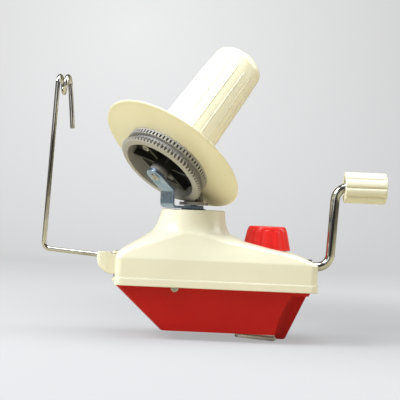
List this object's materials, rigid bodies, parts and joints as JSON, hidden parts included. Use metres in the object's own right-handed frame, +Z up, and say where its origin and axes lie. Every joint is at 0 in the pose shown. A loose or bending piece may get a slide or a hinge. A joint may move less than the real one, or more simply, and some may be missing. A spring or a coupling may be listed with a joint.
{
  "type": "yarn cone winder",
  "caption": "Table-clamped hand-cranked yarn winder with an inclined spinning spool, bevel gearing, a wire yarn guide and a screw clamp.",
  "frame": {"origin": "middle of the flat underside that rests on the table", "axes": "+X to the crank, +Y to the back, +Z up"},
  "size_m": [0.2826, 0.1187, 0.2423],
  "materials": {
    "cream_plastic": "moulded, satin gloss",
    "red_plastic": "moulded, satin gloss",
    "grey_plastic": "moulded, matt",
    "zinc_steel": "blue zinc plate",
    "bright_steel": "plain bright steel",
    "chrome_wire": "polished chrome plate",
    "bearing_plastic": "plain moulded bearing"
  },
  "bodies": {
    "case": {"upper_case": "cream_plastic", "lower_case": "red_plastic", "case_screws": "bright_steel", "frame_screws": "bright_steel", "gear_frame": "grey_plastic", "centre_post": "bright_steel", "post_clip": "bright_steel", "fixed_gear": "grey_plastic", "fixed_gear_pin": "bright_steel", "turret_bushing": "bearing_plastic", "crank_bushing": "bearing_plastic", "guide_pin": "bright_steel"},
    "rotor": {"rotor_sleeve": "zinc_steel", "rotor_pinion": "grey_plastic", "rotor_bracket": "zinc_steel", "spool_axle": "bright_steel", "spool_washer": "zinc_steel", "spool_clip": "bright_steel"},
    "spool": {"ring_gear": "grey_plastic", "spool_flange": "cream_plastic", "spool_core": "cream_plastic", "spool_screws": "bright_steel"},
    "crank": {"crank_arm": "chrome_wire", "crank_gear": "grey_plastic", "crank_gear_pin": "bright_steel", "shaft_clip": "bright_steel", "grip_retainer": "bright_steel"},
    "grip": {"crank_grip": "cream_plastic", "grip_cap": "cream_plastic"},
    "knob": {"clamp_knob": "red_plastic", "clamp_screw": "bright_steel", "clamp_clip": "bright_steel"},
    "jaw": {"clamp_jaw": "zinc_steel", "clamp_nut": "zinc_steel"},
    "guide": {"guide_holder": "cream_plastic", "guide_wire": "chrome_wire"}
  },
  "joints": [
    {"name": "crank_turn", "type": "hinge", "parent": "case", "child": "crank", "pos_m": [0.0792, 0, 0.055], "axis": [1, 0, 0], "continuous": true},
    {"name": "rotor_turn", "type": "hinge", "parent": "case", "child": "rotor", "pos_m": [-0.0225, 0, 0.0978], "axis": [0, 0, 1], "continuous": true},
    {"name": "spool_turn", "type": "hinge", "parent": "rotor", "child": "spool", "pos_m": [-0.0532, -0.02486, 0.12441], "axis": [0.4995, 0.4045, 0.766], "continuous": true},
    {"name": "grip_spin", "type": "hinge", "parent": "crank", "child": "grip", "pos_m": [0.118, 0, 0.1215], "axis": [1, 0, 0], "continuous": true},
    {"name": "knob_turn", "type": "hinge", "parent": "case", "child": "knob", "pos_m": [0.0395, 0.01, 0.067], "axis": [0, 0, 1], "range_deg": [0, 5400]},
    {"name": "jaw_travel", "type": "slide", "parent": "case", "child": "jaw", "axis": [0, 0, -1], "range_m": [0, 0.03]},
    {"name": "guide_swing", "type": "hinge", "parent": "case", "child": "guide", "pos_m": [-0.0853, 0, 0.05], "axis": [0, 0, 1], "range_deg": [-75, 75]}
  ],
  "couplings": [
    {"joint": "rotor_turn", "follows": "crank_turn", "ratio": -3.4286},
    {"joint": "spool_turn", "follows": "crank_turn", "ratio": -0.66667},
    {"joint": "jaw_travel", "follows": "knob_turn", "m_per_rad": 0.00031831}
  ]
}
